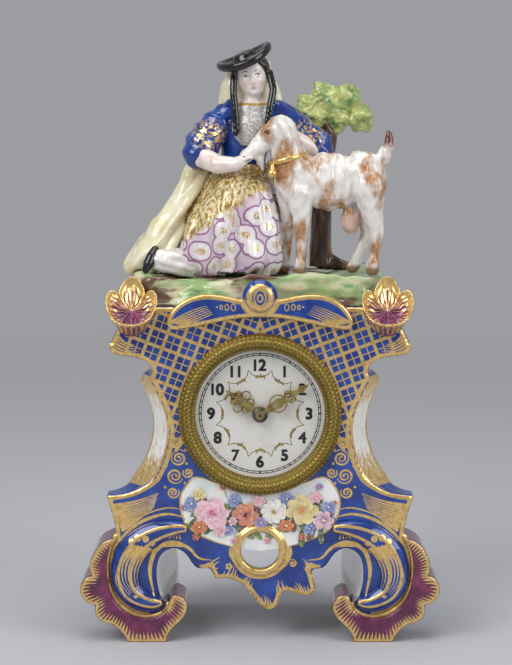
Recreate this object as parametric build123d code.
from build123d import *
import math
import os

# Figural mantel clock: a rococo porcelain case on scroll feet, a shepherdess with
# a goat on top, and a back-wound balance movement in a brass drum.
# Frame: X to the right, Y to the back, Z up, origin on the floor under the middle.

# Porcelain case
CASE_WIDTH = 226.0
CASE_HEIGHT = 212.0
CASE_DEPTH = 92.0
CASE_BACK_SHARE = 0.86
CANT_DEPTH = 14.0
FRONT_WALL = 7.0
BACK_WALL = 5.0
TOP_WALL = 7.0
CAVITY_MARGIN = 4.0
BACK_SILL_SHARE = 0.2925
REAR_FOOT_LENGTH = 26.0
REAR_FOOT_HEIGHT = 20.0
EYE_RADIUS = 12.0
EYE_RING_WIDTH = 3.6
EYE_RING_DEPTH = 3.0
EYE_HEIGHT_SHARE = 0.2736
CREST_WIDTH = 116.0
CREST_HEIGHT = 31.0
CREST_DEPTH = 9.0
CREST_GAP = 3.0
CREST_BOSS_RADIUS = 11.0
SHELL_RADIUS = 15.5
SHELL_WALL = 2.4
SHELL_TILT = 45.0
SHELL_SET = 9.6
SHELL_HEIGHT_SHARE = 1.5
FRILL_REACH = 6.0
FRILL_DEPTH = 32.0
SCROLL_RELIEF = 6.0

# Figure group
GROUP_HEIGHT = 166.0
MOUND_HEIGHT = 20.0
MOUND_WIDTH = 164.0
MOUND_DEPTH = 80.0
MOUND_SETBACK = 2.0
MOUND_CORNER = 18.0
MOUND_SLOPE = 4.0
HAT_RADIUS = 18.5
HAT_BRIM = 5.6
HAT_CROWN_RADIUS = 9.0
HAT_CROWN_HEIGHT = 4.0
HAT_TILT = 23.0
COLLAR_WALL = 1.2
COLLAR_WIDTH = 3.6
COLLAR_FIT = 0.8
BELL_RADIUS = 3.2

# Dial, bezel and glass
DIAL_HEIGHT_SHARE = 0.6821
DIAL_VIEW_RADIUS = 40.5
DIAL_LIP = 2.0
DIAL_THICKNESS = 0.8
DIAL_SINK = 3.0
DIAL_FIT = 0.5
BEZEL_WIDTH = 10.5
BEZEL_RISE = 7.5
SKIRT_WALL = 1.5
SKIRT_LENGTH = 12.0
SKIRT_FIT = 0.5
GLASS_THICKNESS = 1.6
GLASS_DOME = 6.0
GLASS_LIP = 1.2
GLASS_FIT = 0.2
GLASS_SEAT = 3.0

# Hands, at 10:09:40
HOUR_SHOWN = 10
MINUTE_SHOWN = 9 + 40 / 60
MINUTE_HAND_LENGTH = 36.0
HOUR_HAND_LENGTH = 26.5
HAND_THICKNESS = 0.6
HAND_LIFT = 3.0
HAND_SPACING = 1.8
HAND_BOSS = 5.0
NUT_RADIUS = 2.8
NUT_HEIGHT = 2.0

# Movement drum and plates
DRUM_WALL = 0.6
PLATE_GAP = 3.0
PLATE_THICKNESS = 1.5
MOTION_SPACE = 6.0
TRAIN_SPACE = 18.0
STANDOFF_HEIGHT = 5.0
PILLAR_RADIUS = 2.2
SCREW_RADIUS = 1.0
SCREW_HEAD_RADIUS = 2.2
SCREW_HEAD_HEIGHT = 1.2

# Arbors and their fits
ARBOR_RADIUS = 1.0
PIVOT_RADIUS = 0.6
CENTRE_RADIUS = 1.4
PIPE_WALL = 0.6
RUN_FIT = 0.06
END_SHAKE = 0.25
WHEEL_THICKNESS = 1.2
PINION_LENGTH = 2.6
HUB_WALL = 1.4

# Winding side
SPRING_STRIP = 0.45
SPRING_TURNS = 9
SPRING_HEIGHT = 8.0
SPRING_GAP = 0.5
RATCHET_RADIUS = 6.0
RATCHET_TEETH = 20
RATCHET_DEPTH = 0.9
RATCHET_THICKNESS = 0.9
CLICK_WIDTH = 1.6
CLICK_GAP = 0.2
WIND_RADIUS = 1.6
KEY_HUB_RADIUS = 3.0
KEY_HUB_LENGTH = 9.0
KEY_SPAN = 26.0
KEY_WING_HEIGHT = 11.0
KEY_THICKNESS = 2.4
KEY_HOLE_RADIUS = 2.4
KNOB_RADIUS = 5.0
KNOB_LENGTH = 6.0
KNOB_FLUTES = 16
KNOB_FLUTE_RADIUS = 0.5
BACK_CLEARANCE = 0.8

# Escapement
ESCAPE_RADIUS = 4.4
ESCAPE_TEETH = 15
ESCAPE_THICKNESS = 0.5
LEVER_THICKNESS = 0.6
LEVER_REACH = 7.0
LEVER_WIDTH = 1.2
BALANCE_RADIUS = 8.4
BALANCE_RIM = 1.4
BALANCE_THICKNESS = 1.4
HAIRSPRING_TURNS = 6
HAIRSPRING_STRIP = 0.18
HAIRSPRING_PITCH = 0.55
HAIRSPRING_HEIGHT = 0.8
REGULATOR_REACH = 10.0
REGULATOR_THICKNESS = 0.8
REGULATOR_SWING = 22.0
FINGER_RADIUS = 0.8
FINGER_LENGTH = 5.0
SLOT_FIT = 0.5
SLOT_SPARE_TURN = 1.0

# Fixing straps and rear ring
STRAP_WIDTH = 8.0
STRAP_THICKNESS = 1.2
STRAP_FOOT = 7.0
REAR_RING_WIDTH = 12.0
REAR_RING_THICKNESS = 2.0
REAR_RING_FIT = 1.3

# Wheel train: tooth counts, and modules as shares of the plate radius
LEAVES = 10
GREAT_TEETH = 60
CENTRE_TEETH = 60
THIRD_TEETH = 60
FOURTH_TEETH = 50
CANNON_TEETH = 12
MINUTE_TEETH = 36
HOUR_TEETH = 40
GREAT_MODULE_SHARE = 0.0156
CENTRE_MODULE_SHARE = 0.0130
THIRD_MODULE_SHARE = 0.0110
FOURTH_MODULE_SHARE = 0.0084
CANNON_MODULE_SHARE = 0.0130
GREAT_BEARING = -90.0
THIRD_BEARING = 150.0
FOURTH_BEARING = 45.0
ESCAPE_BEARING = 0.0
LEVER_BEARING = -8.0
BALANCE_BEARING = -36.0
LEVER_DISTANCE_SHARE = 0.215
BALANCE_DISTANCE_SHARE = 0.33
MINUTE_BEARING = 200.0
PILLAR_BEARINGS = (47.0, 133.0, 227.0, 313.0)
PILLAR_PLACE_SHARE = 0.93
PRESSURE_ANGLE = math.radians(25)
ADDENDUM_SHARE = 0.7
DEDENDUM_SHARE = 1.05
TOOTH_SLACK_SHARE = 0.12
WHEEL_ARMS = 4
RIM_SHARE = 0.86
ARM_SHARE = 0.13

# Levels of the wheels, as shares of the space between the plates
GREAT_LEVEL_SHARE = 0.07
SPRING_LEVEL_SHARE = 0.22
THIRD_LEVEL_SHARE = 0.36
FOURTH_LEVEL_SHARE = 0.58
CENTRE_LEVEL_SHARE = 0.80
ESCAPE_LEVEL_SHARE = 0.10
BALANCE_LEVEL_SHARE = 0.30
HAIRSPRING_LEVEL_SHARE = 0.50

OVERRUN = 5.0

# Places worked out from the sizes above
HALF_WIDTH = CASE_WIDTH / 2
DIAL_HEIGHT = DIAL_HEIGHT_SHARE * CASE_HEIGHT
EYE_HEIGHT = EYE_HEIGHT_SHARE * CASE_HEIGHT
BACK_SILL_HEIGHT = BACK_SILL_SHARE * CASE_HEIGHT
SHELL_REACH = SHELL_RADIUS * (
    SHELL_HEIGHT_SHARE * math.sin(math.radians(SHELL_TILT)) + math.cos(math.radians(SHELL_TILT))
) - SHELL_SET
REAR_REACH = REAR_RING_THICKNESS + SCREW_HEAD_HEIGHT
FRONT_Y = (SHELL_REACH - CASE_DEPTH - REAR_REACH) / 2
BACK_Y = FRONT_Y + CASE_DEPTH
BEZEL_RADIUS = DIAL_VIEW_RADIUS + BEZEL_WIDTH
DIAL_RADIUS = DIAL_VIEW_RADIUS + DIAL_LIP
SKIRT_INNER = DIAL_RADIUS + DIAL_FIT
SKIRT_RADIUS = SKIRT_INNER + SKIRT_WALL
DRUM_RADIUS = DIAL_RADIUS - DIAL_FIT
PLATE_RADIUS = DRUM_RADIUS - DRUM_WALL - PLATE_GAP
DIAL_Y = FRONT_Y + DIAL_SINK
DIAL_BACK_Y = DIAL_Y + DIAL_THICKNESS
PLATE_Y = DIAL_BACK_Y + MOTION_SPACE
TRAIN_Y = PLATE_Y + PLATE_THICKNESS
BACK_PLATE_Y = TRAIN_Y + TRAIN_SPACE
BACK_PLATE_END = BACK_PLATE_Y + PLATE_THICKNESS
DRUM_BACK_Y = BACK_PLATE_END + STANDOFF_HEIGHT
DRUM_END_Y = DRUM_BACK_Y + DRUM_WALL
STRAP_INNER = SKIRT_RADIUS
STRAP_OUTER = STRAP_INNER + STRAP_THICKNESS
APERTURE_RADIUS = STRAP_OUTER + REAR_RING_FIT
CANNON_RADIUS = CENTRE_RADIUS + PIPE_WALL
PIPE_RADIUS = CANNON_RADIUS + RUN_FIT + PIPE_WALL
HOUR_HAND_Y = DIAL_Y - HAND_LIFT
MINUTE_HAND_Y = HOUR_HAND_Y - HAND_SPACING
GLASS_Y = FRONT_Y - GLASS_SEAT
CREST_BASE = DIAL_HEIGHT + BEZEL_RADIUS + CREST_GAP
MINUTE_ANGLE = MINUTE_SHOWN * 6
HOUR_ANGLE = (HOUR_SHOWN + MINUTE_SHOWN / 60) * 30

GREAT_MODULE = GREAT_MODULE_SHARE * PLATE_RADIUS
CENTRE_MODULE = CENTRE_MODULE_SHARE * PLATE_RADIUS
THIRD_MODULE = THIRD_MODULE_SHARE * PLATE_RADIUS
FOURTH_MODULE = FOURTH_MODULE_SHARE * PLATE_RADIUS
CANNON_MODULE = CANNON_MODULE_SHARE * PLATE_RADIUS
HOUR_MODULE = CANNON_MODULE * (CANNON_TEETH + MINUTE_TEETH) / (LEAVES + HOUR_TEETH)

os.makedirs("parts", exist_ok=True)


def step_from(place, bearing, distance):
    """A place in the dial plane, at a bearing and a distance from another one."""
    turn = math.radians(bearing)
    return (place[0] + distance * math.cos(turn), place[1] + distance * math.sin(turn))


def mesh_distance(module, teeth):
    return module * (teeth + LEAVES) / 2


CENTRE = (0, DIAL_HEIGHT)
GREAT = step_from(CENTRE, GREAT_BEARING, mesh_distance(GREAT_MODULE, GREAT_TEETH))
THIRD = step_from(CENTRE, THIRD_BEARING, mesh_distance(CENTRE_MODULE, CENTRE_TEETH))
FOURTH = step_from(THIRD, FOURTH_BEARING, mesh_distance(THIRD_MODULE, THIRD_TEETH))
ESCAPE = step_from(FOURTH, ESCAPE_BEARING, mesh_distance(FOURTH_MODULE, FOURTH_TEETH))
LEVER = step_from(ESCAPE, LEVER_BEARING, LEVER_DISTANCE_SHARE * PLATE_RADIUS)
BALANCE = step_from(LEVER, BALANCE_BEARING, BALANCE_DISTANCE_SHARE * PLATE_RADIUS)
MINUTE = step_from(
    CENTRE, MINUTE_BEARING, CANNON_MODULE * (CANNON_TEETH + MINUTE_TEETH) / 2
)
PILLARS = [
    step_from(CENTRE, bearing, PILLAR_PLACE_SHARE * PLATE_RADIUS - PILLAR_RADIUS)
    for bearing in PILLAR_BEARINGS
]


def save(node, shape):
    shape = Compound(children=list(shape.solids()))
    export_step(shape, os.path.join("parts", node + ".step"))


# Shapes in the dial plane, and turned shapes about an axis along Y
def front_plane(y, place=(0, 0)):
    return Plane(origin=(place[0], y, place[1]), x_dir=(1, 0, 0), z_dir=(0, -1, 0))


def slab(face, y, thickness, place=(0, 0)):
    return extrude(front_plane(y, place) * face, amount=-thickness)


def rod(place, y, end, radius):
    return slab(Circle(radius), y, end - y, place)


def tube(place, y, end, inner, outer):
    return slab(Circle(outer) - Circle(inner), y, end - y, place)


def turned(points, place):
    plane = Plane(origin=(place[0], 0, place[1]), x_dir=(1, 0, 0), z_dir=(0, 0, 1))
    face = plane * make_face(Polyline(*points, close=True))
    return revolve(face, Axis((place[0], 0, place[1]), (0, 1, 0)), 360)


def smooth_edge(points):
    return Line(*points) if len(points) == 2 else Spline(*points)


# Toothed wheels with straight-sided involute teeth
def toothed(teeth, module, phase=0.0):
    pitch = teeth * module / 2
    base = pitch * math.cos(PRESSURE_ANGLE)
    root = pitch - DEDENDUM_SHARE * module
    tip = pitch + ADDENDUM_SHARE * module

    def half_width(radius):
        roll = math.acos(min(1, base / radius))
        thick = math.pi / 2 / teeth * (1 - TOOTH_SLACK_SHARE)
        start = math.tan(PRESSURE_ANGLE) - PRESSURE_ANGLE
        return thick + start - (math.tan(roll) - roll)

    radii = [root, tip] if teeth > 2 * LEAVES else [root, pitch, tip]
    points = []
    for tooth in range(teeth):
        middle = phase + 2 * math.pi * tooth / teeth
        flank = [(r, half_width(r)) for r in radii]
        points += [(r, middle - half) for r, half in flank]
        points += [(r, middle + half) for r, half in reversed(flank)]
    corners = [(r * math.cos(a), r * math.sin(a)) for r, a in points]
    return make_face(Polyline(*corners, close=True))


def crossed(teeth, module, hub, phase=0.0):
    """A wheel blank with its rim, arms and hub."""
    rim = RIM_SHARE * (teeth * module / 2)
    arm = Rectangle(2 * rim + module, ARM_SHARE * rim)
    window = Circle(rim) - Circle(hub)
    for k in range(WHEEL_ARMS // 2):
        window -= Rot(0, 0, 180 * k / (WHEEL_ARMS // 2)) * arm
    return toothed(teeth, module, phase) - window


def meshed_phase(phase, teeth, mate_teeth, bearing):
    """The phase of a mate that puts its gap opposite a tooth of the first wheel."""
    turn = math.radians(bearing)
    return turn + math.pi + math.pi / mate_teeth - (phase - turn) * teeth / mate_teeth


def level(share):
    return TRAIN_Y + share * TRAIN_SPACE


def arbor(place):
    """A plain arbor between the plates, with its two pivots."""
    body = rod(place, TRAIN_Y + END_SHAKE, BACK_PLATE_Y - END_SHAKE, ARBOR_RADIUS)
    return body + rod(place, PLATE_Y, BACK_PLATE_END, PIVOT_RADIUS)


# Case outline, right half, as shares of half the width and of the height
SHOULDER_SHARES = [(0.708, 1.0), (0.772, 0.948), (0.832, 0.88)]
FLANGE_TIP_SHARES = [(0.832, 0.88), (0.819, 0.863)]
UNDER_FLANGE_SHARES = [(0.819, 0.863), (0.708, 0.851), (0.619, 0.834), (0.593, 0.807)]
EAR_SHARES = [(0.593, 0.807), (0.655, 0.792), (0.668, 0.769)]
WAIST_SHARES = [(0.668, 0.769), (0.615, 0.703), (0.598, 0.646), (0.619, 0.575), (0.704, 0.491)]
FRONT_EAR_SHARES = [(0.593, 0.807), (0.602, 0.79), (0.585, 0.769)]
FRONT_WAIST_SHARES = [(0.585, 0.769), (0.527, 0.703), (0.5, 0.646), (0.513, 0.575), (0.58, 0.491)]
LOWER_TOP_SHARES = [(0.704, 0.491), (0.743, 0.462), (0.854, 0.439)]
FRONT_LOWER_TOP_SHARES = [(0.58, 0.491), (0.66, 0.462), (0.854, 0.439)]
LOWER_TIP_SHARES = [(0.854, 0.439), (0.845, 0.42)]
LOWER_SIDE_SHARES = [(0.845, 0.42), (0.812, 0.358), (0.801, 0.316)]
SCROLL_SHARES = [
    (0.801, 0.316), (0.845, 0.259), (0.85, 0.2), (0.81, 0.127), (0.708, 0.079), (0.593, 0.073),
    (0.513, 0.104),
]
TOE_SHARES = [(0.513, 0.104), (0.553, 0.127)]
ARCH_SHARES = [
    (0.553, 0.127), (0.575, 0.217), (0.54, 0.264), (0.478, 0.277), (0.412, 0.259), (0.367, 0.224),
    (0.279, 0.222),
]
APRON_STEP_RIGHT_SHARES = [(0.279, 0.222), (0.312, 0.156)]
APRON_RIGHT_SHARES = [
    (0.312, 0.156), (0.27, 0.133), (0.195, 0.141), (0.133, 0.146), (0.106, 0.118), (0.035, 0.09),
]
APRON_LEFT_SHARES = [(0.035, 0.09), (-0.018, 0.118), (-0.08, 0.16), (-0.159, 0.183), (-0.248, 0.182)]
APRON_STEP_LEFT_SHARES = [(-0.248, 0.182), (-0.279, 0.222)]
APRON_RUNS_SHARES = [APRON_STEP_RIGHT_SHARES, APRON_RIGHT_SHARES, APRON_LEFT_SHARES, APRON_STEP_LEFT_SHARES]
CAVITY_SHARES = [
    (0.5, 0.88), (0.0, 0.807), (0.0, 0.56), (0.57, 0.462), (0.6, 0.377), (0.57, 0.3), (0.478, 0.25),
]


def placed(shares, side=1):
    return [(side * x * HALF_WIDTH, z * CASE_HEIGHT) for x, z in shares]


def case_edges(y, narrow, front):
    """The whole outline at one depth, edge by edge."""
    ear = FRONT_EAR_SHARES if front else EAR_SHARES
    waist = FRONT_WAIST_SHARES if front else WAIST_SHARES
    lower = FRONT_LOWER_TOP_SHARES if front else LOWER_TOP_SHARES
    side = [SHOULDER_SHARES, FLANGE_TIP_SHARES, UNDER_FLANGE_SHARES, ear, waist, lower]
    side += [LOWER_TIP_SHARES, LOWER_SIDE_SHARES, SCROLL_SHARES, TOE_SHARES, ARCH_SHARES]
    runs = [[placed(SHOULDER_SHARES, -1)[0], placed(SHOULDER_SHARES)[0]]]
    runs += [placed(run) for run in side + APRON_RUNS_SHARES]
    runs += [placed(run, -1)[::-1] for run in reversed(side)]
    return [front_plane(y) * smooth_edge([(narrow * x, z) for x, z in run]) for run in runs]


def case_solid():
    """Straight walls between the outlines at the front, the waist's edge and the back."""
    front = case_edges(FRONT_Y, 1.0, True)
    waist = case_edges(FRONT_Y + CANT_DEPTH, 1.0, False)
    back = case_edges(BACK_Y, CASE_BACK_SHARE, False)
    walls = [Face.make_surface_from_curves(*pair) for pair in [*zip(front, waist), *zip(waist, back)]]
    return Solid(Shell([make_face(front).face(), make_face(back).face(), *walls]))


def case_cavity():
    """The hollow behind the front wall, open below, with the waist clear of the straps."""
    waist = STRAP_OUTER + CAVITY_MARGIN
    right = [(max(x * HALF_WIDTH, waist), z * CASE_HEIGHT) for x, z in CAVITY_SHARES]
    top = CASE_HEIGHT - TOP_WALL
    right = [(right[0][0], top)] + right + [(right[-1][0], -OVERRUN)]
    left = [(-x, z) for x, z in reversed(right)]
    face = make_face(Polyline(*right, *left, close=True))
    hollow = slab(face, FRONT_Y + FRONT_WALL, CASE_DEPTH - FRONT_WALL - BACK_WALL)
    width = 2 * right[-1][0]
    sill = Rectangle(width, BACK_SILL_HEIGHT, align=(Align.CENTER, Align.MIN))
    return hollow + slab(sill, BACK_Y - BACK_WALL - OVERRUN, BACK_WALL + 2 * OVERRUN)


def rear_feet():
    """Two plain toes that carry the back of the case."""
    outer = SCROLL_SHARES[3][0] * CASE_BACK_SHARE * HALF_WIDTH
    inner = SCROLL_SHARES[-1][0] * CASE_BACK_SHARE * HALF_WIDTH
    block = Rectangle(outer - inner, REAR_FOOT_HEIGHT, align=(Align.CENTER, Align.MIN))
    block = fillet(block.vertices().group_by(Axis.Y)[0], REAR_FOOT_HEIGHT / 3)
    middle = (outer + inner) / 2
    y = BACK_Y - REAR_FOOT_LENGTH
    return slab(block, y, REAR_FOOT_LENGTH, (middle, 0)) + slab(block, y, REAR_FOOT_LENGTH, (-middle, 0))


def make_case_body():
    body = case_solid() + rear_feet() - case_cavity()
    body -= slab(Circle(SKIRT_RADIUS + SKIRT_FIT), FRONT_Y - OVERRUN, FRONT_WALL + 2 * OVERRUN, CENTRE)
    body -= slab(Circle(APERTURE_RADIUS), BACK_Y - BACK_WALL - OVERRUN, BACK_WALL + 2 * OVERRUN, CENTRE)
    eye = (0, EYE_HEIGHT)
    body -= slab(Circle(EYE_RADIUS), FRONT_Y - OVERRUN, FRONT_WALL + 2 * OVERRUN, eye)
    return body + make_eye_ring()


def make_eye_ring():
    ring = Circle(EYE_RADIUS + EYE_RING_WIDTH) - Circle(EYE_RADIUS)
    solid = slab(ring, FRONT_Y - EYE_RING_DEPTH, EYE_RING_DEPTH, (0, EYE_HEIGHT))
    return fillet(solid.edges().group_by(Axis.Y)[0], EYE_RING_WIDTH / 3)


# Crest: two scroll wings and a boss, as shares of half its width and its height
CREST_TOP_SHARES = [(0.0, 0.58), (0.2, 0.6), (0.45, 0.69), (0.7, 0.67), (0.89, 0.48), (1.0, 0.16)]
CREST_END_SHARES = [(1.0, 0.16), (0.97, 0.03), (0.86, 0.0)]
CREST_UNDER_SHARES = [(0.86, 0.0), (0.62, 0.08), (0.3, 0.2), (0.0, 0.24)]
CREST_PEAK_SHARE = 0.62
CREST_ROUND_SHARE = 0.3


def make_crest():
    def place(shares, side):
        return [(side * x * CREST_WIDTH / 2, CREST_BASE + z * CREST_HEIGHT) for x, z in shares]

    runs = [CREST_TOP_SHARES, CREST_END_SHARES, CREST_UNDER_SHARES]
    edges = [smooth_edge(place(run, 1)) for run in runs]
    edges += [smooth_edge(place(run, -1)[::-1]) for run in reversed(runs)]
    wing_depth = CREST_PEAK_SHARE * CREST_DEPTH
    wings = slab(make_face(edges), FRONT_Y - wing_depth, wing_depth)
    wings = fillet(wings.edges().group_by(Axis.Y)[0], CREST_ROUND_SHARE * wing_depth)
    middle = CREST_BASE + CREST_HEIGHT - CREST_BOSS_RADIUS
    boss = turned(
        [
            (0, FRONT_Y), (CREST_BOSS_RADIUS, FRONT_Y), (CREST_BOSS_RADIUS, FRONT_Y - wing_depth),
            (CREST_PEAK_SHARE * CREST_BOSS_RADIUS, FRONT_Y - CREST_DEPTH), (0, FRONT_Y - CREST_DEPTH),
        ],
        (0, middle),
    )
    return wings + boss


# Corner shells: tilted flared cups on the upper corners
SHELL_PLACE_SHARES = (0.70, 0.928)
SHELL_OUTER_SHARES = [(0.0, 0.0), (0.45, 0.08), (0.72, 0.45), (0.8, 0.95), (1.0, SHELL_HEIGHT_SHARE)]
SHELL_LOBES = 7
SHELL_LOBE_SHARE = 0.26


def make_corner_shell(side, case, mound):
    wall = SHELL_WALL / SHELL_RADIUS
    outer = [(r * SHELL_RADIUS, h * SHELL_RADIUS) for r, h in SHELL_OUTER_SHARES]
    inner = [(max(r - wall, 0) * SHELL_RADIUS, (h + wall) * SHELL_RADIUS) for r, h in SHELL_OUTER_SHARES]
    inner[-1] = (outer[-1][0] - SHELL_WALL, outer[-1][1])
    edges = [Spline(*outer), Line(outer[-1], inner[-1]), Spline(*inner[::-1]), Line(inner[0], outer[0])]
    bowl = revolve(Plane.XZ * make_face(edges), Axis.Z, 360)
    rim = SHELL_RADIUS * SHELL_OUTER_SHARES[-1][0]
    for k in range(SHELL_LOBES):
        notch = Cylinder(SHELL_LOBE_SHARE * rim, 2 * rim, rotation=(0, 90, 0))
        bowl -= Rot(0, 0, 360 * k / SHELL_LOBES) * Pos(rim, 0, outer[-1][1]) * notch
    x, z = SHELL_PLACE_SHARES
    bowl = Pos(side * x * HALF_WIDTH, FRONT_Y + SHELL_SET, z * CASE_HEIGHT) * Rot(SHELL_TILT, 0, 0) * bowl
    return bowl - case - mound


# Foot frills: lobes from notch to tip to notch, then the flat sole and the curled toe
FRILL_LOBE_SHARES = [
    ((0.801, 0.316), (0.872, 0.302), (0.923, 0.266)),
    ((0.923, 0.266), (0.945, 0.236), (0.934, 0.203)),
    ((0.934, 0.203), (1.0, 0.156), (0.914, 0.113)),
    ((0.914, 0.113), (0.91, 0.078), (0.842, 0.057)),
    ((0.842, 0.057), (0.79, 0.04), (0.74, 0.0)),
]
FRILL_TOE_SHARES = [(0.52, 0.0), (0.47, 0.05), (0.425, 0.075), (0.405, 0.115), (0.45, 0.142), (0.513, 0.104)]


def make_foot_frill(side, case):
    edges = [ThreePointArc(*placed(lobe, side)) for lobe in FRILL_LOBE_SHARES]
    edges.append(Line(placed(FRILL_LOBE_SHARES[-1], side)[-1], placed(FRILL_TOE_SHARES, side)[0]))
    edges.append(Spline(*placed(FRILL_TOE_SHARES, side)))
    edges.append(Spline(*placed(SCROLL_SHARES, side)[::-1]))
    frill = slab(make_face(edges), FRONT_Y - FRILL_REACH, FRILL_DEPTH)
    return frill - case


# Foot scrolls: the raised C-scroll on each foot, as its middle line and half widths
SCROLL_LINE_SHARES = [
    (0.407, 0.344), (0.531, 0.335), (0.655, 0.302), (0.735, 0.245), (0.752, 0.193), (0.717, 0.146),
    (0.646, 0.123), (0.58, 0.116), (0.545, 0.121),
]
SCROLL_HALF_SHARES = [0.03, 0.062, 0.082, 0.088, 0.083, 0.073, 0.058, 0.04, 0.02]
SCROLL_STEPS_SHARES = [(0.0, 1.0), (0.6, 0.85), (1.0, 0.4)]


def scroll_band(side, narrow):
    """The band at one height of the relief, as a face in the dial plane."""
    line = [Vector(*point) for point in placed(SCROLL_LINE_SHARES, side)]
    outer, inner = [], []
    for k, half in enumerate(SCROLL_HALF_SHARES):
        along = (line[min(k + 1, len(line) - 1)] - line[max(k - 1, 0)]).normalized()
        across = Vector(-along.Y, along.X) * (half * HALF_WIDTH * narrow)
        outer.append(line[k] + across)
        inner.append(line[k] - across)
    ends = [Line(outer[-1], inner[-1]), Line(inner[0], outer[0])]
    return make_face([Spline(*outer), ends[0], Spline(*inner[::-1]), ends[1]])


def make_foot_scroll(side, frill):
    faces = [
        front_plane(FRONT_Y - height * SCROLL_RELIEF) * scroll_band(side, narrow)
        for height, narrow in SCROLL_STEPS_SHARES
    ]
    return loft(faces, ruled=True) - frill


# Figure group: places and radii are shares of the group's height, from the case top
def group_point(share):
    return (share[0] * GROUP_HEIGHT, share[1] * GROUP_HEIGHT, CASE_HEIGHT + share[2] * GROUP_HEIGHT)


def stack(rows):
    """A loft through level ellipses: x, y, z and the two radii of each."""
    faces = []
    for x, y, z, across, deep in rows:
        plane = Plane(origin=group_point((x, y, z)), x_dir=(1, 0, 0), z_dir=(0, 0, 1))
        faces.append(plane * Ellipse(across * GROUP_HEIGHT, deep * GROUP_HEIGHT))
    return loft(faces)


def barrel(rows):
    """A loft through upright ellipses along X: x, y, z and the radii in Y and Z."""
    faces = []
    for x, y, z, deep, high in rows:
        plane = Plane(origin=group_point((x, y, z)), x_dir=(0, 1, 0), z_dir=(1, 0, 0))
        faces.append(plane * Ellipse(deep * GROUP_HEIGHT, high * GROUP_HEIGHT))
    return loft(faces)


def limb(rows):
    """A loft through circles square to the line of their centres: x, y, z and radius."""
    centres = [Vector(*group_point(row)) for row in rows]
    faces = []
    for k, row in enumerate(rows):
        along = centres[min(k + 1, len(rows) - 1)] - centres[max(k - 1, 0)]
        faces.append(Plane(origin=centres[k], z_dir=along) * Circle(row[3] * GROUP_HEIGHT))
    return loft(faces)


def ball(row):
    """A sphere: x, y, z and radius."""
    return Pos(*group_point(row)) * Sphere(row[3] * GROUP_HEIGHT)


SKIRT_ROWS_SHARES = [
    (-0.115, 0.0, 0.09, 0.205, 0.155), (-0.11, -0.006, 0.23, 0.212, 0.158), (-0.095, 0.0, 0.33, 0.187, 0.145),
    (-0.08, 0.018, 0.42, 0.15, 0.115), (-0.072, 0.03, 0.52, 0.108, 0.08),
]
JACKET_ROWS_SHARES = [
    (-0.072, 0.03, 0.5, 0.104, 0.077), (-0.05, 0.025, 0.6, 0.102, 0.073), (-0.036, 0.02, 0.685, 0.112, 0.07),
    (-0.03, 0.02, 0.735, 0.08, 0.055), (-0.027, 0.014, 0.76, 0.036, 0.036),
]
CHEST_ROWS_SHARES = [
    (-0.03, -0.006, 0.59, 0.052, 0.062), (-0.03, -0.006, 0.665, 0.06, 0.068),
    (-0.027, 0.0, 0.73, 0.045, 0.045),
    (-0.024, 0.0, 0.77, 0.029, 0.029), (-0.024, 0.0, 0.8, 0.027, 0.027),
]
HEAD_ROWS_SHARES = [
    (-0.024, -0.022, 0.778, 0.016, 0.02), (-0.024, -0.014, 0.796, 0.036, 0.046),
    (-0.024, -0.008, 0.83, 0.051, 0.06),
    (-0.024, -0.004, 0.87, 0.057, 0.066), (-0.024, -0.002, 0.905, 0.05, 0.058),
    (-0.024, -0.002, 0.928, 0.024, 0.028),
]
VEIL_ROWS_SHARES = [
    (-0.036, 0.07, 0.66, 0.125, 0.052), (-0.036, 0.055, 0.735, 0.126, 0.064),
    (-0.04, 0.046, 0.83, 0.1, 0.064),
    (-0.036, 0.036, 0.905, 0.07, 0.058),
]
BRAID_LEFT_SHARES = [
    (-0.078, -0.03, 0.91, 0.016), (-0.084, -0.052, 0.81, 0.016), (-0.083, -0.062, 0.72, 0.016),
    (-0.08, -0.06, 0.64, 0.012),
]
BRAID_RIGHT_SHARES = [
    (0.028, -0.03, 0.92, 0.016), (0.034, -0.05, 0.84, 0.017), (0.024, -0.062, 0.75, 0.016),
    (0.016, -0.064, 0.67, 0.012),
]
HAT_CENTRE_SHARES = (-0.054, -0.012, 0.925)
HAT_CROWN_SHARES = (-0.1, 0.0)
SLEEVE_LEFT_SHARES = [
    (-0.12, 0.015, 0.715, 0.05), (-0.19, -0.01, 0.65, 0.063), (-0.25, -0.035, 0.585, 0.07),
    (-0.268, -0.055, 0.53, 0.064),
]
FOREARM_LEFT_SHARES = [
    (-0.262, -0.065, 0.55, 0.04), (-0.17, -0.125, 0.53, 0.034), (-0.085, -0.15, 0.545, 0.028),
    (-0.055, -0.152, 0.565, 0.022),
]
SLEEVE_RIGHT_SHARES = [
    (0.065, 0.015, 0.715, 0.048), (0.15, 0.02, 0.655, 0.057), (0.222, 0.015, 0.59, 0.057),
    (0.235, 0.005, 0.55, 0.05),
]
FOREARM_RIGHT_SHARES = [(0.225, 0.0, 0.56, 0.033), (0.17, -0.03, 0.6, 0.03), (0.125, -0.05, 0.635, 0.024)]
CLOAK_ROWS_SHARES = [
    (-0.4, -0.02, 0.09, 0.105, 0.09), (-0.39, -0.02, 0.2, 0.1, 0.09), (-0.345, -0.01, 0.29, 0.078, 0.083),
    (-0.285, 0.005, 0.4, 0.055, 0.066), (-0.225, 0.02, 0.53, 0.036, 0.045),
]
PETTICOAT_SHARES = [
    (-0.24, -0.105, 0.13, 0.04), (-0.32, -0.122, 0.155, 0.055), (-0.385, -0.125, 0.165, 0.045),
    (-0.405, -0.128, 0.165, 0.025),
]
SHOE_SHARES = [
    (-0.395, -0.12, 0.17, 0.024), (-0.41, -0.14, 0.165, 0.034), (-0.42, -0.162, 0.15, 0.032),
    (-0.426, -0.18, 0.138, 0.016),
]

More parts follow.
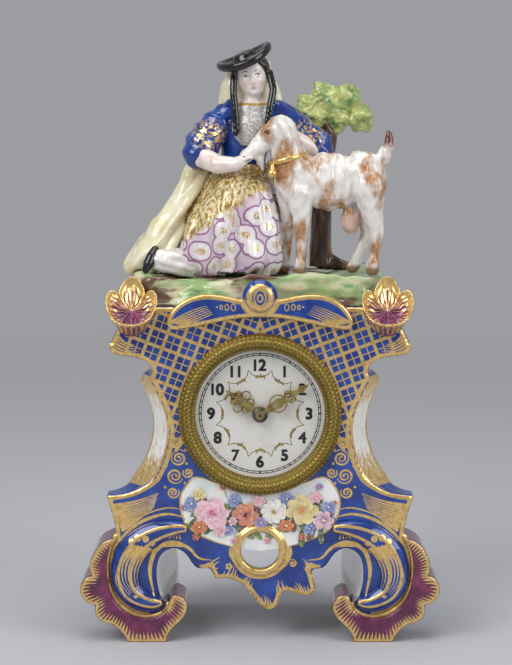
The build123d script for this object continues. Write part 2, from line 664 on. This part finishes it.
GOAT_BODY_SHARES = [
    (0.075, -0.12, 0.46, 0.035, 0.05), (0.13, -0.12, 0.465, 0.075, 0.098), (0.24, -0.12, 0.475, 0.085, 0.112),
    (0.35, -0.12, 0.48, 0.082, 0.11), (0.43, -0.12, 0.495, 0.068, 0.095), (0.47, -0.12, 0.505, 0.03, 0.045),
]
GOAT_NECK_SHARES = [(0.165, -0.12, 0.53, 0.075), (0.115, -0.125, 0.62, 0.06), (0.078, -0.128, 0.7, 0.05)]
GOAT_HEAD_SHARES = [
    (0.085, -0.128, 0.715, 0.03), (0.06, -0.13, 0.69, 0.046), (0.015, -0.135, 0.64, 0.042),
    (-0.04, -0.14, 0.59, 0.03),
    (-0.06, -0.14, 0.572, 0.018),
]
EAR_NEAR_SHARES = [(0.068, -0.165, 0.695, 0.012), (0.08, -0.18, 0.665, 0.021), (0.085, -0.184, 0.625, 0.008)]
EAR_FAR_SHARES = [(0.07, -0.09, 0.7, 0.012), (0.085, -0.074, 0.675, 0.021), (0.092, -0.068, 0.64, 0.008)]
BEARD_SHARES = [(-0.02, -0.138, 0.59, 0.014), (-0.014, -0.14, 0.555, 0.013), (-0.006, -0.14, 0.515, 0.005)]
GOAT_LEGS_SHARES = [
    [
        (0.15, -0.16, 0.42, 0.042), (0.15, -0.16, 0.26, 0.024),
        (0.147, -0.158, 0.15, 0.022), (0.143, -0.158, 0.09, 0.026),
    ],
    [
        (0.105, -0.085, 0.42, 0.04), (0.1, -0.085, 0.26, 0.024),
        (0.095, -0.085, 0.15, 0.022), (0.09, -0.087, 0.09, 0.026),
    ],
    [
        (0.42, -0.16, 0.44, 0.056), (0.42, -0.16, 0.3, 0.032),
        (0.432, -0.158, 0.22, 0.024), (0.425, -0.158, 0.09, 0.026),
    ],
    [
        (0.4, -0.08, 0.43, 0.054), (0.39, -0.08, 0.3, 0.03),
        (0.375, -0.08, 0.2, 0.024), (0.35, -0.082, 0.09, 0.026),
    ],
]
UDDER_SHARES = (0.345, -0.125, 0.36, 0.045)
TAIL_SHARES = [(0.46, -0.12, 0.555, 0.022), (0.488, -0.12, 0.615, 0.022), (0.48, -0.12, 0.67, 0.012)]
COLLAR_SHARE = 0.5
TRUNK_SHARES = [
    (0.24, 0.085, 0.08, 0.055), (0.235, 0.085, 0.25, 0.04), (0.25, 0.085, 0.5, 0.036),
    (0.265, 0.085, 0.7, 0.03),
]
FOLIAGE_SHARES = [
    (0.19, 0.08, 0.72, 0.055), (0.255, 0.085, 0.765, 0.062), (0.325, 0.085, 0.755, 0.06),
    (0.385, 0.08, 0.69, 0.052),
    (0.3, 0.075, 0.69, 0.05), (0.235, 0.09, 0.7, 0.05),
]


def make_mound():
    middle = FRONT_Y + MOUND_SETBACK + MOUND_DEPTH / 2
    top = CASE_HEIGHT + MOUND_HEIGHT
    sections = []
    for z, inset in [(CASE_HEIGHT, 0), (top, MOUND_SLOPE)]:
        base = RectangleRounded(MOUND_WIDTH - 2 * inset, MOUND_DEPTH - inset, MOUND_CORNER - inset)
        sections.append(Pos(0, middle, z) * base)
    return loft(sections)


def make_hat():
    brim = Cylinder(HAT_RADIUS, HAT_BRIM)
    brim = fillet(brim.edges().filter_by(GeomType.CIRCLE), HAT_BRIM / 3)
    base = Pos(HAT_CROWN_SHARES[0] * HAT_RADIUS, HAT_CROWN_SHARES[1], HAT_BRIM / 2)
    crown = Cylinder(HAT_CROWN_RADIUS, HAT_CROWN_HEIGHT, align=(Align.CENTER, Align.CENTER, Align.MIN))
    crown = fillet(crown.edges().group_by(Axis.Z)[-1], HAT_CROWN_HEIGHT / 3)
    return Pos(*group_point(HAT_CENTRE_SHARES)) * Rot(0, -HAT_TILT, 0) * (brim + base * crown)


def make_figure(mound):
    """Every piece of the group, each cut by the larger ones that it is luted to."""
    goat_body = barrel(GOAT_BODY_SHARES) + limb(TAIL_SHARES)
    goat_legs = sum([limb(rows) for rows in GOAT_LEGS_SHARES], ball(UDDER_SHARES)) - goat_body - mound
    neck = limb(GOAT_NECK_SHARES)
    goat_head = neck + limb(GOAT_HEAD_SHARES) + limb(EAR_NEAR_SHARES) + limb(EAR_FAR_SHARES)
    goat_head = goat_head + limb(BEARD_SHARES) - goat_body
    skirt = stack(SKIRT_ROWS_SHARES) - mound - goat_body - goat_legs
    chest = stack(CHEST_ROWS_SHARES)
    jacket = stack(JACKET_ROWS_SHARES) - chest - skirt - goat_head
    head = stack(HEAD_ROWS_SHARES) - chest
    hat = make_hat() - head
    veil = stack(VEIL_ROWS_SHARES) - head - chest - jacket - hat
    hair = limb(BRAID_LEFT_SHARES) + limb(BRAID_RIGHT_SHARES) - head - chest - jacket - hat - veil
    arm_left = limb(SLEEVE_LEFT_SHARES) + limb(FOREARM_LEFT_SHARES)
    arm_left = arm_left - jacket - skirt - chest - veil - goat_head
    collar = make_goat_collar()
    arm_right = limb(SLEEVE_RIGHT_SHARES) + limb(FOREARM_RIGHT_SHARES)
    arm_right = arm_right - jacket - chest - goat_body - goat_head - veil - collar - skirt
    cloak = stack(CLOAK_ROWS_SHARES) - mound - skirt - jacket - arm_left
    petticoat = limb(PETTICOAT_SHARES) - mound - skirt - cloak
    shoe = limb(SHOE_SHARES) - mound - petticoat - cloak
    foliage = sum([ball(row) for row in FOLIAGE_SHARES[1:]], ball(FOLIAGE_SHARES[0])) - arm_right
    trunk = limb(TRUNK_SHARES) - mound - foliage - arm_right - goat_body
    pieces = dict(mound=mound, goat_body=goat_body, goat_legs=goat_legs)
    pieces.update(goat_head=goat_head, goat_collar=collar)
    pieces.update(skirt=skirt, jacket=jacket, chest=chest, head=head, hat=hat, veil=veil, hair=hair)
    pieces.update(arm_left=arm_left, arm_right=arm_right, cloak=cloak, petticoat=petticoat, shoe=shoe)
    pieces.update(tree_foliage=foliage, tree_trunk=trunk)
    return pieces


def make_goat_collar():
    """A band round the neck with a small bell on its front."""
    low, high = Vector(*group_point(GOAT_NECK_SHARES[0])), Vector(*group_point(GOAT_NECK_SHARES[1]))
    neck = GOAT_NECK_SHARES[0][3] + (GOAT_NECK_SHARES[1][3] - GOAT_NECK_SHARES[0][3]) * COLLAR_SHARE
    inner = neck * GROUP_HEIGHT + COLLAR_FIT
    along = high - low
    plane = Plane(origin=low + along * COLLAR_SHARE, x_dir=(-along.Z, 0, along.X), z_dir=along)
    band = extrude(plane * (Circle(inner + COLLAR_WALL) - Circle(inner)), amount=COLLAR_WIDTH)
    bell = plane * Pos(inner + COLLAR_WALL + BELL_RADIUS / 2, 0, 0) * Sphere(BELL_RADIUS)
    return band + bell


# Bezel, glass, dial and hands
def make_bezel():
    inner = DIAL_VIEW_RADIUS
    seat = inner + GLASS_LIP
    rise = FRONT_Y - BEZEL_RISE
    edge = (BEZEL_RADIUS + seat) / 2
    return turned(
        [
            (SKIRT_INNER, FRONT_Y + SKIRT_LENGTH), (SKIRT_RADIUS, FRONT_Y + SKIRT_LENGTH),
            (SKIRT_RADIUS, FRONT_Y),
            (BEZEL_RADIUS, FRONT_Y), (BEZEL_RADIUS, FRONT_Y - BEZEL_RISE / 4),
            ((BEZEL_RADIUS + edge) / 2, rise + GLASS_LIP),
            (edge, rise), ((seat + edge) / 2, rise + GLASS_LIP), (seat, GLASS_Y - GLASS_THICKNESS),
            (seat, GLASS_Y), (inner, GLASS_Y), (inner, DIAL_Y), (SKIRT_INNER, DIAL_Y),
        ],
        CENTRE,
    )


def make_dial_glass():
    """A domed glass held in the rebate of the bezel."""
    radius = DIAL_VIEW_RADIUS + GLASS_LIP - GLASS_FIT
    inside = radius - 2 * GLASS_LIP
    sphere = (radius * radius + GLASS_DOME * GLASS_DOME) / (2 * GLASS_DOME)
    hollow = math.sqrt((sphere - GLASS_THICKNESS) ** 2 - (sphere - GLASS_DOME) ** 2)
    plane = Plane(origin=(0, 0, DIAL_HEIGHT), x_dir=(1, 0, 0), z_dir=(0, 0, 1))
    rim = min(hollow, inside)
    crown = GLASS_Y - GLASS_THICKNESS - GLASS_DOME
    front = GLASS_Y - GLASS_THICKNESS
    outer_middle = (radius / 2, crown + sphere - math.sqrt(sphere ** 2 - radius ** 2 / 4))
    inner_sphere = (rim * rim + GLASS_DOME * GLASS_DOME) / (2 * GLASS_DOME)
    hollow_top = crown + GLASS_THICKNESS
    inner_middle = (rim / 2, hollow_top + inner_sphere - math.sqrt(inner_sphere ** 2 - rim ** 2 / 4))
    edges = [
        ThreePointArc((0, crown), outer_middle, (radius, front)),
        Line((radius, front), (radius, GLASS_Y)),
        Line((radius, GLASS_Y), (rim, GLASS_Y)),
        ThreePointArc((rim, GLASS_Y), inner_middle, (0, hollow_top)),
        Line((0, hollow_top), (0, crown)),
    ]
    return revolve(plane * make_face(edges), Axis((0, 0, DIAL_HEIGHT), (0, 1, 0)), 360)


def make_dial():
    return tube(CENTRE, DIAL_Y, DIAL_BACK_Y, PIPE_RADIUS + RUN_FIT + HUB_WALL, DIAL_RADIUS)


MINUTE_HAND_SHARES = [(0.0, 0.12), (0.07, 0.3), (0.03, 0.44), (0.085, 0.58), (0.03, 0.72), (0.0, 1.0)]
HOUR_HAND_SHARES = [(0.0, 0.17), (0.1, 0.36), (0.045, 0.5), (0.15, 0.66), (0.045, 0.8), (0.0, 1.0)]
HAND_WINDOW_SHARES = ((0.58, 0.045), (0.3, 0.035))
HAND_NECK_SHARE = 0.055


def make_hand(shares, length, y, bore, angle):
    """A pierced leaf hand that points up, turned to its time."""
    right = [(x * length, z * length) for x, z in shares]
    left = [(-x, z) for x, z in reversed(right)]
    face = make_face([Spline(*right), Spline(*left)])
    neck = Rectangle(2 * HAND_NECK_SHARE * length, shares[-2][1] * length, align=(Align.CENTER, Align.MIN))
    face = face + neck + Circle(HAND_BOSS)
    for height, radius in HAND_WINDOW_SHARES:
        face -= Pos(0, height * length) * Circle(radius * length)
    face -= Circle(bore)
    return slab(Rot(0, 0, -angle) * face, y, HAND_THICKNESS, CENTRE)


def make_hand_nut():
    y = MINUTE_HAND_Y - NUT_HEIGHT
    return tube(CENTRE, y, MINUTE_HAND_Y, CENTRE_RADIUS, NUT_RADIUS)


# Plates, pillars and drum
ARBOR_PLACES = [THIRD, FOURTH, ESCAPE, LEVER, BALANCE]


def plate(y):
    face = Circle(PLATE_RADIUS) - Circle(CENTRE_RADIUS + RUN_FIT)
    for place in ARBOR_PLACES:
        face -= Pos(place[0], place[1] - DIAL_HEIGHT) * Circle(PIVOT_RADIUS + RUN_FIT)
    face -= Pos(GREAT[0], GREAT[1] - DIAL_HEIGHT) * Circle(WIND_RADIUS + RUN_FIT)
    for place in PILLARS:
        face -= Pos(place[0], place[1] - DIAL_HEIGHT) * Circle(SCREW_RADIUS)
    return slab(face, y, PLATE_THICKNESS, CENTRE)


def make_front_plate():
    """The front plate with the stud of the minute wheel."""
    stud = rod(MINUTE, PLATE_Y - MOTION_LEVELS[1] - WHEEL_THICKNESS, PLATE_Y, PIVOT_RADIUS)
    return plate(PLATE_Y) + stud


def make_pillars():
    group = []
    for place in PILLARS:
        body = rod(place, TRAIN_Y, BACK_PLATE_Y, PILLAR_RADIUS)
        group.append(body + rod(place, PLATE_Y, BACK_PLATE_END, SCREW_RADIUS))
    return Compound(children=group)


def make_standoffs():
    """Hexagon posts on the back plate that carry the drum."""
    post = RegularPolygon(PILLAR_RADIUS, 6) - Circle(SCREW_RADIUS)
    return Compound(children=[slab(post, BACK_PLATE_END, STANDOFF_HEIGHT, place) for place in PILLARS])


def make_drum_screws():
    group = []
    for place in PILLARS:
        shank = rod(place, BACK_PLATE_END + STANDOFF_HEIGHT / 3, DRUM_END_Y, SCREW_RADIUS)
        group.append(shank + rod(place, DRUM_END_Y, DRUM_END_Y + SCREW_HEAD_HEIGHT, SCREW_HEAD_RADIUS))
    return Compound(children=group)


def regulator_slot():
    """An arc slot for the regulator finger."""
    radius = REGULATOR_REACH
    half = FINGER_RADIUS + SLOT_FIT
    start, end = (REGULATOR_BEARING + side * (REGULATOR_SWING + SLOT_SPARE_TURN) for side in (-1, 1))
    arc = CenterArc((0, 0), radius, start, end - start)
    return SlotArc(arc, 2 * half)


def make_movement_drum():
    """The drum can, closed at the back, with holes for the winding and setting arbors."""
    wall = tube(CENTRE, DIAL_BACK_Y, DRUM_BACK_Y, DRUM_RADIUS - DRUM_WALL, DRUM_RADIUS)
    back = Circle(DRUM_RADIUS) - Circle(CENTRE_RADIUS + SLOT_FIT)
    back -= Pos(GREAT[0], GREAT[1] - DIAL_HEIGHT) * Circle(WIND_RADIUS + SLOT_FIT)
    for place in PILLARS:
        back -= Pos(place[0], place[1] - DIAL_HEIGHT) * Circle(SCREW_RADIUS)
    back -= Pos(BALANCE[0], BALANCE[1] - DIAL_HEIGHT) * regulator_slot()
    return wall + slab(back, DRUM_BACK_Y, DRUM_WALL, CENTRE)


# Motion work: levels are measured forward from the front plate
MOTION_LEVELS = (END_SHAKE + WHEEL_THICKNESS, 2 * END_SHAKE + 2 * WHEEL_THICKNESS + PIPE_WALL)


def make_cannon_pinion():
    y = PLATE_Y - MOTION_LEVELS[0]
    pinion = slab(toothed(CANNON_TEETH, CANNON_MODULE) - Circle(CENTRE_RADIUS), y, WHEEL_THICKNESS, CENTRE)
    return pinion + tube(CENTRE, MINUTE_HAND_Y + HAND_THICKNESS, y, CENTRE_RADIUS, CANNON_RADIUS)


def make_minute_wheel():
    phase = meshed_phase(0.0, CANNON_TEETH, MINUTE_TEETH, MINUTE_BEARING)
    bore = PIVOT_RADIUS + RUN_FIT
    low = PLATE_Y - MOTION_LEVELS[0]
    high = PLATE_Y - MOTION_LEVELS[1]
    wheel = crossed(MINUTE_TEETH, CANNON_MODULE, LEAVES * HOUR_MODULE / 2, phase) - Circle(bore)
    pinion = toothed(LEAVES, HOUR_MODULE) - Circle(bore)
    return slab(wheel, low, WHEEL_THICKNESS, MINUTE) + slab(pinion, high, low - high, MINUTE)


def make_hour_wheel():
    phase = meshed_phase(0.0, LEAVES, HOUR_TEETH, MINUTE_BEARING + 180)
    high = PLATE_Y - MOTION_LEVELS[1]
    bore = CANNON_RADIUS + RUN_FIT
    wheel = crossed(HOUR_TEETH, HOUR_MODULE, PIPE_RADIUS + HUB_WALL, phase) - Circle(bore)
    pipe = tube(CENTRE, HOUR_HAND_Y, high, bore, PIPE_RADIUS)
    return slab(wheel, high, WHEEL_THICKNESS, CENTRE) + pipe


# Going train
def pinion_wheel(place, leaves_module, leaves_phase, leaves_level, teeth, module, wheel_level):
    """An arbor with its pinion and its crossed wheel."""
    pinion = slab(toothed(LEAVES, leaves_module, leaves_phase), leaves_level, PINION_LENGTH, place)
    wheel = slab(crossed(teeth, module, ARBOR_RADIUS + HUB_WALL), wheel_level, WHEEL_THICKNESS, place)
    return arbor(place) + pinion + wheel


def centred(share):
    """The start of a pinion whose middle is at the middle of the wheel on that level."""
    return level(share) + (WHEEL_THICKNESS - PINION_LENGTH) / 2


def make_centre_arbor():
    """The centre arbor with its pinion, from the hand nut to the setting knob."""
    body = rod(CENTRE, MINUTE_HAND_Y - NUT_HEIGHT, DRUM_END_Y + BACK_CLEARANCE + KNOB_LENGTH, CENTRE_RADIUS)
    return body + slab(toothed(LEAVES, GREAT_MODULE), centred(GREAT_LEVEL_SHARE), PINION_LENGTH, CENTRE)


def make_centre_wheel():
    face = crossed(CENTRE_TEETH, CENTRE_MODULE, CENTRE_RADIUS + HUB_WALL) - Circle(CENTRE_RADIUS)
    return slab(face, level(CENTRE_LEVEL_SHARE), WHEEL_THICKNESS, CENTRE)


def make_third_wheel():
    phase = meshed_phase(0.0, CENTRE_TEETH, LEAVES, THIRD_BEARING)
    start = centred(CENTRE_LEVEL_SHARE)
    wheel_y = level(THIRD_LEVEL_SHARE)
    return pinion_wheel(THIRD, CENTRE_MODULE, phase, start, THIRD_TEETH, THIRD_MODULE, wheel_y)


def make_fourth_wheel():
    phase = meshed_phase(0.0, THIRD_TEETH, LEAVES, FOURTH_BEARING)
    start = centred(THIRD_LEVEL_SHARE)
    wheel_y = level(FOURTH_LEVEL_SHARE)
    return pinion_wheel(FOURTH, THIRD_MODULE, phase, start, FOURTH_TEETH, FOURTH_MODULE, wheel_y)


ESCAPE_ROOT_SHARE = 0.76


def make_escape_wheel():
    phase = meshed_phase(0.0, FOURTH_TEETH, LEAVES, ESCAPE_BEARING)
    points = []
    step = 2 * math.pi / ESCAPE_TEETH
    for tooth in range(ESCAPE_TEETH):
        turn = tooth * step
        points.append((ESCAPE_RADIUS * math.cos(turn), ESCAPE_RADIUS * math.sin(turn)))
        root = ESCAPE_ROOT_SHARE * ESCAPE_RADIUS
        points.append((root * math.cos(turn + step / 4), root * math.sin(turn + step / 4)))
        points.append((root * math.cos(turn + step * 3 / 4), root * math.sin(turn + step * 3 / 4)))
    face = make_face(Polyline(*points, close=True))
    wheel = slab(face, level(ESCAPE_LEVEL_SHARE), ESCAPE_THICKNESS, ESCAPE)
    pinion = slab(toothed(LEAVES, FOURTH_MODULE, phase), centred(FOURTH_LEVEL_SHARE), PINION_LENGTH, ESCAPE)
    return arbor(ESCAPE) + wheel + pinion


def make_great_wheel():
    phase = meshed_phase(0.0, LEAVES, GREAT_TEETH, GREAT_BEARING)
    face = crossed(GREAT_TEETH, GREAT_MODULE, RATCHET_RADIUS + CLICK_WIDTH, phase)
    face -= Circle(WIND_RADIUS + RUN_FIT)
    return slab(face, level(GREAT_LEVEL_SHARE), WHEEL_THICKNESS, GREAT)


def make_winding_arbor():
    """The winding arbor with its ratchet wheel and spring hub."""
    body = rod(GREAT, PLATE_Y, DRUM_END_Y + BACK_CLEARANCE + KEY_HUB_LENGTH / 2, WIND_RADIUS)
    points = []
    step = 2 * math.pi / RATCHET_TEETH
    for tooth in range(RATCHET_TEETH):
        turn = tooth * step
        root = RATCHET_RADIUS - RATCHET_DEPTH
        points.append((RATCHET_RADIUS * math.cos(turn), RATCHET_RADIUS * math.sin(turn)))
        points.append((root * math.cos(turn + step / 8), root * math.sin(turn + step / 8)))
    ratchet = make_face(Polyline(*points, close=True))
    coil_y = level(SPRING_LEVEL_SHARE)
    hub = rod(GREAT, coil_y, coil_y + SPRING_HEIGHT, WIND_RADIUS + HUB_WALL)
    return body + slab(ratchet, RATCHET_Y, RATCHET_THICKNESS, GREAT) + hub


RATCHET_Y = level(GREAT_LEVEL_SHARE) + WHEEL_THICKNESS + RUN_FIT
SPRING_INNER = WIND_RADIUS + HUB_WALL
SPRING_PITCH = SPRING_STRIP + SPRING_GAP
CLICK_BEARING = 35.0
CLICK_LENGTH_SHARE = 1.1


def spiral(inner, pitch, turns, strip):
    """A flat spiral strip, as one face."""
    def line(offset, parts=12):
        count = turns * parts
        radii = [(inner + offset + pitch * k / parts, 2 * math.pi * k / parts) for k in range(count + 1)]
        return [(r * math.cos(a), r * math.sin(a)) for r, a in radii]

    low, high = line(0.0), line(strip)
    edges = [Spline(*low), Line(low[-1], high[-1]), Spline(*high[::-1]), Line(high[0], low[0])]
    return make_face(edges)


def make_mainspring():
    face = spiral(SPRING_INNER + RUN_FIT, SPRING_PITCH, SPRING_TURNS, SPRING_STRIP)
    return slab(face, level(SPRING_LEVEL_SHARE), SPRING_HEIGHT, GREAT)


def make_click():
    """The click that rides on the great wheel beside the ratchet teeth."""
    length = CLICK_LENGTH_SHARE * RATCHET_RADIUS
    arm = SlotCenterToCenter(length, CLICK_WIDTH)
    tip = RATCHET_RADIUS + CLICK_GAP + CLICK_WIDTH / 2
    place = step_from(GREAT, CLICK_BEARING, tip)
    arm = Rot(0, 0, CLICK_BEARING + 90) * Pos(-length / 2, 0) * arm
    return slab(arm, RATCHET_Y - RUN_FIT, RATCHET_THICKNESS, place)


def make_winding_key():
    """A butterfly key on the end of the winding arbor."""
    start = DRUM_END_Y + BACK_CLEARANCE
    hub = rod(GREAT, start, start + KEY_HUB_LENGTH, KEY_HUB_RADIUS)
    hub -= rod(GREAT, start, start + KEY_HUB_LENGTH / 2, WIND_RADIUS)
    wing = Ellipse(KEY_SPAN / 4, KEY_WING_HEIGHT / 2) - Circle(KEY_HOLE_RADIUS)
    face = Pos(KEY_SPAN / 4, 0) * wing + Pos(-KEY_SPAN / 4, 0) * wing
    web = Rectangle(KEY_SPAN / 4, KEY_WING_HEIGHT / 2)
    plane = Plane(
        origin=(GREAT[0], start + KEY_HUB_LENGTH + KEY_WING_HEIGHT / 4, GREAT[1]),
        x_dir=(1, 0, 0), z_dir=(0, 0, 1),
    )
    return hub + extrude(plane * (face + web), amount=KEY_THICKNESS / 2, both=True)


def make_set_knob():
    """A fluted knob on the back end of the centre arbor."""
    face = Circle(KNOB_RADIUS) - Circle(CENTRE_RADIUS)
    for k in range(KNOB_FLUTES):
        face -= Rot(0, 0, 360 * k / KNOB_FLUTES) * Pos(KNOB_RADIUS, 0) * Circle(KNOB_FLUTE_RADIUS)
    return slab(face, DRUM_END_Y + BACK_CLEARANCE, KNOB_LENGTH, CENTRE)


LEVER_FORK_SHARE = 0.62


def make_pallet_lever():
    """The lever with its two pallet pins and its fork towards the balance."""
    y = level(ESCAPE_LEVEL_SHARE)
    span = math.dist(LEVER, BALANCE) - ARBOR_RADIUS - BALANCE_RIM
    bar = Rectangle(span, LEVER_WIDTH, align=(Align.MIN, Align.CENTER))
    fork = Pos(LEVER_FORK_SHARE * span, 0) * Rectangle(LEVER_WIDTH, 2 * LEVER_WIDTH)
    arms = Rectangle(LEVER_WIDTH, LEVER_REACH)
    face = Rot(0, 0, BALANCE_BEARING) * (bar + fork) + Rot(0, 0, LEVER_BEARING) * arms + Circle(LEVER_WIDTH)
    return arbor(LEVER) + slab(face, y, LEVER_THICKNESS, LEVER)


def make_balance_wheel():
    y = level(BALANCE_LEVEL_SHARE)
    rim = Circle(BALANCE_RADIUS) - Circle(BALANCE_RADIUS - BALANCE_RIM)
    arm = Rectangle(2 * BALANCE_RADIUS - BALANCE_RIM, BALANCE_RIM)
    face = rim + arm + Circle(ARBOR_RADIUS + HUB_WALL)
    return arbor(BALANCE) + slab(face, y, BALANCE_THICKNESS, BALANCE)


def make_hairspring():
    face = spiral(ARBOR_RADIUS + RUN_FIT, HAIRSPRING_PITCH, HAIRSPRING_TURNS, HAIRSPRING_STRIP)
    return slab(face, level(HAIRSPRING_LEVEL_SHARE), HAIRSPRING_HEIGHT, BALANCE)


REGULATOR_BEARING = 215.0


def make_regulator():
    """The rate lever behind the back plate, with a finger through the drum."""
    y = BACK_PLATE_END + RUN_FIT
    ring = Circle(ARBOR_RADIUS + HUB_WALL) - Circle(PIVOT_RADIUS + RUN_FIT)
    arm = Pos(ARBOR_RADIUS + HUB_WALL / 2, 0) * Rectangle(
        REGULATOR_REACH - ARBOR_RADIUS - HUB_WALL / 2, 2 * FINGER_RADIUS, align=(Align.MIN, Align.CENTER)
    )
    face = Rot(0, 0, REGULATOR_BEARING) * (ring + arm)
    place = step_from(BALANCE, REGULATOR_BEARING, REGULATOR_REACH)
    finger = rod(place, y, DRUM_END_Y + FINGER_LENGTH, FINGER_RADIUS)
    return slab(face, y, REGULATOR_THICKNESS, BALANCE) + finger


# Fixing straps, rear ring and screws
STRAP_SCREW_X = STRAP_OUTER - STRAP_FOOT / 2


def make_straps():
    start = FRONT_Y + FRONT_WALL + SKIRT_FIT
    group = []
    for side in (-1, 1):
        bar = Box(STRAP_THICKNESS, BACK_Y - start, STRAP_WIDTH)
        bar = Pos(side * (STRAP_INNER + STRAP_OUTER) / 2, (start + BACK_Y) / 2, DIAL_HEIGHT) * bar
        foot = Box(STRAP_FOOT, STRAP_THICKNESS, STRAP_WIDTH)
        foot = Pos(side * STRAP_SCREW_X, BACK_Y - STRAP_THICKNESS / 2, DIAL_HEIGHT) * foot
        hole = rod((side * STRAP_SCREW_X, DIAL_HEIGHT), BACK_Y - OVERRUN, BACK_Y + OVERRUN, SCREW_RADIUS)
        group.append(bar + foot - hole)
    return Compound(children=group)


def make_rear_ring():
    outer = APERTURE_RADIUS + REAR_RING_WIDTH / 2
    ring = tube(CENTRE, BACK_Y, BACK_Y + REAR_RING_THICKNESS, outer - REAR_RING_WIDTH, outer)
    for side in (-1, 1):
        ring -= rod((side * STRAP_SCREW_X, DIAL_HEIGHT), BACK_Y - OVERRUN, BACK_Y + OVERRUN, SCREW_RADIUS)
    return ring


def make_strap_screws():
    """Two screws from behind, their heads let into the rear ring's face."""
    group = []
    for side in (-1, 1):
        place = (side * STRAP_SCREW_X, DIAL_HEIGHT)
        end = BACK_Y + REAR_RING_THICKNESS
        shank = rod(place, BACK_Y - 2 * STRAP_THICKNESS, end, SCREW_RADIUS)
        group.append(shank + rod(place, end, end + SCREW_HEAD_HEIGHT, SCREW_HEAD_RADIUS))
    return Compound(children=group)


def main():
    solid = case_solid()
    mound = make_mound()
    save("case_body", make_case_body())
    save("crest", make_crest())
    for name, side in [("left", -1), ("right", 1)]:
        save("corner_shell_" + name, make_corner_shell(side, solid, mound))
        frill = make_foot_frill(side, solid)
        save("foot_frill_" + name, frill)
        save("foot_scroll_" + name, make_foot_scroll(side, frill))
    for name, piece in make_figure(mound).items():
        save(name, piece)
    save("bezel", make_bezel())
    save("dial_glass", make_dial_glass())
    save("dial", make_dial())
    minute = (MINUTE_HAND_SHARES, MINUTE_HAND_LENGTH, MINUTE_HAND_Y, CENTRE_RADIUS, MINUTE_ANGLE)
    save("minute_hand", make_hand(*minute))
    save("hour_hand", make_hand(HOUR_HAND_SHARES, HOUR_HAND_LENGTH, HOUR_HAND_Y, PIPE_RADIUS, HOUR_ANGLE))
    save("hand_nut", make_hand_nut())
    save("front_plate", make_front_plate())
    save("back_plate", plate(BACK_PLATE_Y))
    save("pillars", make_pillars())
    save("standoffs", make_standoffs())
    save("drum_screws", make_drum_screws())
    save("movement_drum", make_movement_drum())
    save("cannon_pinion", make_cannon_pinion())
    save("minute_wheel", make_minute_wheel())
    save("hour_wheel", make_hour_wheel())
    save("centre_arbor", make_centre_arbor())
    save("centre_wheel", make_centre_wheel())
    save("third_wheel", make_third_wheel())
    save("fourth_wheel", make_fourth_wheel())
    save("escape_wheel", make_escape_wheel())
    save("great_wheel", make_great_wheel())
    save("winding_arbor", make_winding_arbor())
    save("mainspring", make_mainspring())
    save("click", make_click())
    save("winding_key", make_winding_key())
    save("set_knob", make_set_knob())
    save("pallet_lever", make_pallet_lever())
    save("balance_wheel", make_balance_wheel())
    save("hairspring", make_hairspring())
    save("regulator", make_regulator())
    save("movement_straps", make_straps())
    save("rear_ring", make_rear_ring())
    save("strap_screws", make_strap_screws())


main()
